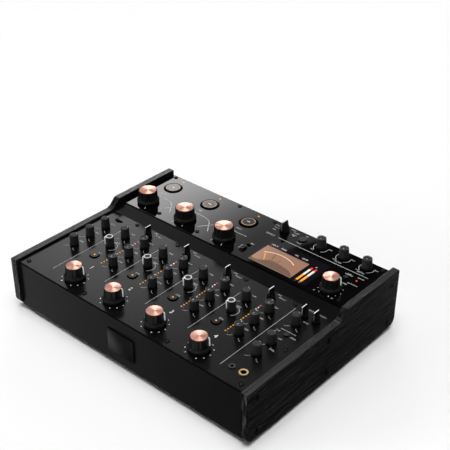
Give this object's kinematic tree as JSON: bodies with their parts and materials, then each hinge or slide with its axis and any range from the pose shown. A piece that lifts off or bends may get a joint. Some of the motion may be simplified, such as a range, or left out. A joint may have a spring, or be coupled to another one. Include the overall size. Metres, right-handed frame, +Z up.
{
  "type": "dj mixer",
  "caption": "Rotary DJ mixer with level knobs, tone rows, isolators, boost buttons, a display and headphone sockets between wooden side cheeks.",
  "frame": {"origin": "on the ground plane under the middle of the mixer, between its feet", "axes": "+X to the user's right, +Y towards the rear sockets, +Z up"},
  "size_m": [0.38, 0.2786, 0.0972],
  "materials": {
    "chassis": "satin black powder coat",
    "deck": "fine-textured matte black with white print",
    "rear_panel": "polished black",
    "cheek": "black-stained open-grain wood, satin",
    "glass": "clear over a lit display",
    "boards": "solder mask",
    "lamps": "lit amber",
    "sockets": "moulded black",
    "gold": "gold plated",
    "feet": "matte",
    "screws": "black oxide",
    "big_knob": "satin black, fluted",
    "knob_cap": "spun, copper anodised",
    "small_knob": "soft-touch black",
    "selector": "satin black with white index line",
    "lever": "ribbed black",
    "button": "satin black with amber light",
    "rocker": "moulded black",
    "print": "white screen print"
  },
  "bodies": {
    "housing": {"bottom_tray": "chassis", "channel_deck": "deck", "rear_panel": "rear_panel", "left_cheek": "cheek", "right_cheek": "cheek", "display_glass": "glass", "control_boards": "boards", "sockets": "sockets", "feet": "feet", "screws": "screws"},
    "level_knob_1": {"level_knob_1": "big_knob"},
    "level_knob_2": {"level_knob_2": "big_knob"},
    "level_knob_3": {"level_knob_3": "big_knob"},
    "level_knob_4": {"level_knob_4": "big_knob"},
    "send_knob_1": {"send_knob_1": "small_knob"},
    "send_knob_2": {"send_knob_2": "small_knob"},
    "send_knob_3": {"send_knob_3": "small_knob"},
    "send_knob_4": {"send_knob_4": "small_knob"},
    "trim_knob_1": {"trim_knob_1": "small_knob"},
    "trim_knob_2": {"trim_knob_2": "small_knob"},
    "trim_knob_3": {"trim_knob_3": "small_knob"},
    "trim_knob_4": {"trim_knob_4": "small_knob"},
    "low_knob_1": {"low_knob_1": "small_knob"},
    "low_knob_2": {"low_knob_2": "small_knob"},
    "low_knob_3": {"low_knob_3": "small_knob"},
    "low_knob_4": {"low_knob_4": "small_knob"},
    "mid_knob_1": {"mid_knob_1": "small_knob"},
    "mid_knob_2": {"mid_knob_2": "small_knob"},
    "mid_knob_3": {"mid_knob_3": "small_knob"},
    "mid_knob_4": {"mid_knob_4": "small_knob"},
    "high_knob_1": {"high_knob_1": "small_knob"},
    "high_knob_2": {"high_knob_2": "small_knob"},
    "high_knob_3": {"high_knob_3": "small_knob"},
    "high_knob_4": {"high_knob_4": "small_knob"},
    "input_selector_1": {"input_selector_1": "selector"},
    "input_selector_2": {"input_selector_2": "selector"},
    "input_selector_3": {"input_selector_3": "selector"},
    "input_selector_4": {"input_selector_4": "selector"},
    "mic_level_knob": {"mic_level_knob": "small_knob"},
    "mic_low_knob": {"mic_low_knob": "small_knob"},
    "mic_high_knob": {"mic_high_knob": "small_knob"},
    "phones_level_knob": {"phones_level_knob": "small_knob"},
    "phones_mix_knob": {"phones_mix_knob": "small_knob"},
    "phones_tone_knob": {"phones_tone_knob": "small_knob"},
    "phones_cue_selector": {"phones_cue_selector": "selector"},
    "phones_mono_selector": {"phones_mono_selector": "selector"},
    "isolator_low_knob": {"isolator_low_knob": "big_knob"},
    "isolator_mid_knob": {"isolator_mid_knob": "big_knob"},
    "isolator_high_knob": {"isolator_high_knob": "big_knob"},
    "effect_selector": {"effect_selector": "selector"},
    "effect_knob_1": {"effect_knob_1": "small_knob"},
    "effect_knob_2": {"effect_knob_2": "small_knob"},
    "effect_knob_3": {"effect_knob_3": "small_knob"},
    "master_knob": {"master_knob": "big_knob"},
    "mic_switch": {"mic_switch": "lever"},
    "isolator_switch": {"isolator_switch": "lever"},
    "cue_buttons": {"cue_buttons": "button"},
    "boost_buttons": {"boost_buttons": "button"},
    "round_buttons": {"round_buttons": "button"},
    "power_switch": {"power_switch": "rocker"}
  },
  "joints": [
    {"name": "level_knob_1_turn", "type": "hinge", "parent": "housing", "child": "level_knob_1", "pos_m": [-0.1016, -0.1133, 0.07075], "axis": [0, 0, 1], "range_deg": [-88, 212]},
    {"name": "level_knob_2_turn", "type": "hinge", "parent": "housing", "child": "level_knob_2", "pos_m": [-0.03455, -0.1133, 0.07075], "axis": [0, 0, 1], "range_deg": [-88, 212]},
    {"name": "level_knob_3_turn", "type": "hinge", "parent": "housing", "child": "level_knob_3", "pos_m": [0.0325, -0.1133, 0.07075], "axis": [0, 0, 1], "range_deg": [-88, 212]},
    {"name": "level_knob_4_turn", "type": "hinge", "parent": "housing", "child": "level_knob_4", "pos_m": [0.09955, -0.1133, 0.07075], "axis": [0, 0, 1], "range_deg": [-88, 212]},
    {"name": "send_knob_1_turn", "type": "hinge", "parent": "housing", "child": "send_knob_1", "pos_m": [-0.121, -0.0384, 0.07075], "axis": [0, 0, 1], "range_deg": [-300, 0]},
    {"name": "send_knob_2_turn", "type": "hinge", "parent": "housing", "child": "send_knob_2", "pos_m": [-0.05395, -0.0384, 0.07075], "axis": [0, 0, 1], "range_deg": [-300, 0]},
    {"name": "send_knob_3_turn", "type": "hinge", "parent": "housing", "child": "send_knob_3", "pos_m": [0.0131, -0.0384, 0.07075], "axis": [0, 0, 1], "range_deg": [-300, 0]},
    {"name": "send_knob_4_turn", "type": "hinge", "parent": "housing", "child": "send_knob_4", "pos_m": [0.08015, -0.0384, 0.07075], "axis": [0, 0, 1], "range_deg": [-300, 0]},
    {"name": "trim_knob_1_turn", "type": "hinge", "parent": "housing", "child": "trim_knob_1", "pos_m": [-0.121, -0.0118, 0.07075], "axis": [0, 0, 1], "range_deg": [-150, 150]},
    {"name": "trim_knob_2_turn", "type": "hinge", "parent": "housing", "child": "trim_knob_2", "pos_m": [-0.05395, -0.0118, 0.07075], "axis": [0, 0, 1], "range_deg": [-150, 150]},
    {"name": "trim_knob_3_turn", "type": "hinge", "parent": "housing", "child": "trim_knob_3", "pos_m": [0.0131, -0.0118, 0.07075], "axis": [0, 0, 1], "range_deg": [-150, 150]},
    {"name": "trim_knob_4_turn", "type": "hinge", "parent": "housing", "child": "trim_knob_4", "pos_m": [0.08015, -0.0118, 0.07075], "axis": [0, 0, 1], "range_deg": [-150, 150]},
    {"name": "low_knob_1_turn", "type": "hinge", "parent": "housing", "child": "low_knob_1", "pos_m": [-0.0867, -0.065, 0.07075], "axis": [0, 0, 1], "range_deg": [-150, 150]},
    {"name": "low_knob_2_turn", "type": "hinge", "parent": "housing", "child": "low_knob_2", "pos_m": [-0.01965, -0.065, 0.07075], "axis": [0, 0, 1], "range_deg": [-150, 150]},
    {"name": "low_knob_3_turn", "type": "hinge", "parent": "housing", "child": "low_knob_3", "pos_m": [0.0474, -0.065, 0.07075], "axis": [0, 0, 1], "range_deg": [-150, 150]},
    {"name": "low_knob_4_turn", "type": "hinge", "parent": "housing", "child": "low_knob_4", "pos_m": [0.11445, -0.065, 0.07075], "axis": [0, 0, 1], "range_deg": [-150, 150]},
    {"name": "mid_knob_1_turn", "type": "hinge", "parent": "housing", "child": "mid_knob_1", "pos_m": [-0.0867, -0.0384, 0.07075], "axis": [0, 0, 1], "range_deg": [-150, 150]},
    {"name": "mid_knob_2_turn", "type": "hinge", "parent": "housing", "child": "mid_knob_2", "pos_m": [-0.01965, -0.0384, 0.07075], "axis": [0, 0, 1], "range_deg": [-150, 150]},
    {"name": "mid_knob_3_turn", "type": "hinge", "parent": "housing", "child": "mid_knob_3", "pos_m": [0.0474, -0.0384, 0.07075], "axis": [0, 0, 1], "range_deg": [-150, 150]},
    {"name": "mid_knob_4_turn", "type": "hinge", "parent": "housing", "child": "mid_knob_4", "pos_m": [0.11445, -0.0384, 0.07075], "axis": [0, 0, 1], "range_deg": [-150, 150]},
    {"name": "high_knob_1_turn", "type": "hinge", "parent": "housing", "child": "high_knob_1", "pos_m": [-0.0867, -0.0118, 0.07075], "axis": [0, 0, 1], "range_deg": [-150, 150]},
    {"name": "high_knob_2_turn", "type": "hinge", "parent": "housing", "child": "high_knob_2", "pos_m": [-0.01965, -0.0118, 0.07075], "axis": [0, 0, 1], "range_deg": [-150, 150]},
    {"name": "high_knob_3_turn", "type": "hinge", "parent": "housing", "child": "high_knob_3", "pos_m": [0.0474, -0.0118, 0.07075], "axis": [0, 0, 1], "range_deg": [-150, 150]},
    {"name": "high_knob_4_turn", "type": "hinge", "parent": "housing", "child": "high_knob_4", "pos_m": [0.11445, -0.0118, 0.07075], "axis": [0, 0, 1], "range_deg": [-150, 150]},
    {"name": "input_selector_1_turn", "type": "hinge", "parent": "housing", "child": "input_selector_1", "pos_m": [-0.1016, 0.0097, 0.07075], "axis": [0, 0, 1], "range_deg": [-40, 40]},
    {"name": "input_selector_2_turn", "type": "hinge", "parent": "housing", "child": "input_selector_2", "pos_m": [-0.03455, 0.0097, 0.07075], "axis": [0, 0, 1], "range_deg": [-40, 40]},
    {"name": "input_selector_3_turn", "type": "hinge", "parent": "housing", "child": "input_selector_3", "pos_m": [0.0325, 0.0097, 0.07075], "axis": [0, 0, 1], "range_deg": [-40, 40]},
    {"name": "input_selector_4_turn", "type": "hinge", "parent": "housing", "child": "input_selector_4", "pos_m": [0.09955, 0.0097, 0.07075], "axis": [0, 0, 1], "range_deg": [-40, 40]},
    {"name": "mic_level_knob_turn", "type": "hinge", "parent": "housing", "child": "mic_level_knob", "pos_m": [-0.1574, -0.065, 0.07075], "axis": [0, 0, 1], "range_deg": [-150, 150]},
    {"name": "mic_low_knob_turn", "type": "hinge", "parent": "housing", "child": "mic_low_knob", "pos_m": [-0.1574, -0.0384, 0.07075], "axis": [0, 0, 1], "range_deg": [-150, 150]},
    {"name": "mic_high_knob_turn", "type": "hinge", "parent": "housing", "child": "mic_high_knob", "pos_m": [-0.1574, -0.0118, 0.07075], "axis": [0, 0, 1], "range_deg": [-150, 150]},
    {"name": "phones_level_knob_turn", "type": "hinge", "parent": "housing", "child": "phones_level_knob", "pos_m": [0.1517, -0.0792, 0.07075], "axis": [0, 0, 1], "range_deg": [-150, 150]},
    {"name": "phones_mix_knob_turn", "type": "hinge", "parent": "housing", "child": "phones_mix_knob", "pos_m": [0.1517, -0.0542, 0.07075], "axis": [0, 0, 1], "range_deg": [-150, 150]},
    {"name": "phones_tone_knob_turn", "type": "hinge", "parent": "housing", "child": "phones_tone_knob", "pos_m": [0.1517, -0.0103, 0.07075], "axis": [0, 0, 1], "range_deg": [-150, 150]},
    {"name": "phones_cue_selector_turn", "type": "hinge", "parent": "housing", "child": "phones_cue_selector", "pos_m": [0.149, 0.0078, 0.07075], "axis": [0, 0, 1], "range_deg": [-30, 30]},
    {"name": "phones_mono_selector_turn", "type": "hinge", "parent": "housing", "child": "phones_mono_selector", "pos_m": [0.1656, 0.0078, 0.07075], "axis": [0, 0, 1], "range_deg": [-30, 30]},
    {"name": "isolator_low_knob_turn", "type": "hinge", "parent": "housing", "child": "isolator_low_knob", "pos_m": [-0.1534, 0.0622, 0.07885], "axis": [0, 0, 1], "range_deg": [-150, 150]},
    {"name": "isolator_mid_knob_turn", "type": "hinge", "parent": "housing", "child": "isolator_mid_knob", "pos_m": [-0.08635, 0.0622, 0.07885], "axis": [0, 0, 1], "range_deg": [-150, 150]},
    {"name": "isolator_high_knob_turn", "type": "hinge", "parent": "housing", "child": "isolator_high_knob", "pos_m": [-0.0193, 0.0622, 0.07885], "axis": [0, 0, 1], "range_deg": [-150, 150]},
    {"name": "effect_selector_turn", "type": "hinge", "parent": "housing", "child": "effect_selector", "pos_m": [0.0284, 0.1242, 0.07885], "axis": [0, 0, 1], "range_deg": [-135, 135]},
    {"name": "effect_knob_1_turn", "type": "hinge", "parent": "housing", "child": "effect_knob_1", "pos_m": [0.0862, 0.1242, 0.07885], "axis": [0, 0, 1], "range_deg": [-150, 150]},
    {"name": "effect_knob_2_turn", "type": "hinge", "parent": "housing", "child": "effect_knob_2", "pos_m": [0.1201, 0.1242, 0.07885], "axis": [0, 0, 1], "range_deg": [-150, 150]},
    {"name": "effect_knob_3_turn", "type": "hinge", "parent": "housing", "child": "effect_knob_3", "pos_m": [0.154, 0.1242, 0.07885], "axis": [0, 0, 1], "range_deg": [-150, 150]},
    {"name": "master_knob_turn", "type": "hinge", "parent": "housing", "child": "master_knob", "pos_m": [0.1462, 0.0611, 0.07885], "axis": [0, 0, 1], "range_deg": [-92, 208]},
    {"name": "mic_switch_slide", "type": "slide", "parent": "housing", "child": "mic_switch", "axis": [1, 0, 0], "range_m": [0, 0.004]},
    {"name": "isolator_switch_slide", "type": "slide", "parent": "housing", "child": "isolator_switch", "axis": [0, 1, 0], "range_m": [0, 0.006]},
    {"name": "cue_buttons_press", "type": "slide", "parent": "housing", "child": "cue_buttons", "axis": [0, 0, -1], "range_m": [0, 0.0012], "stiffness_N_per_m": 400, "springref_m": -0.0006},
    {"name": "boost_buttons_press", "type": "slide", "parent": "housing", "child": "boost_buttons", "axis": [0, 0, -1], "range_m": [0, 0.0012], "stiffness_N_per_m": 500, "springref_m": -0.0006},
    {"name": "round_buttons_press", "type": "slide", "parent": "housing", "child": "round_buttons", "axis": [0, 0, -1], "range_m": [0, 0.0012], "stiffness_N_per_m": 300, "springref_m": -0.0006},
    {"name": "power_switch_rock", "type": "hinge", "parent": "housing", "child": "power_switch", "pos_m": [-0.1315, 0.1265, 0.033], "axis": [1, 0, 0], "range_deg": [0, 14]}
  ]
}
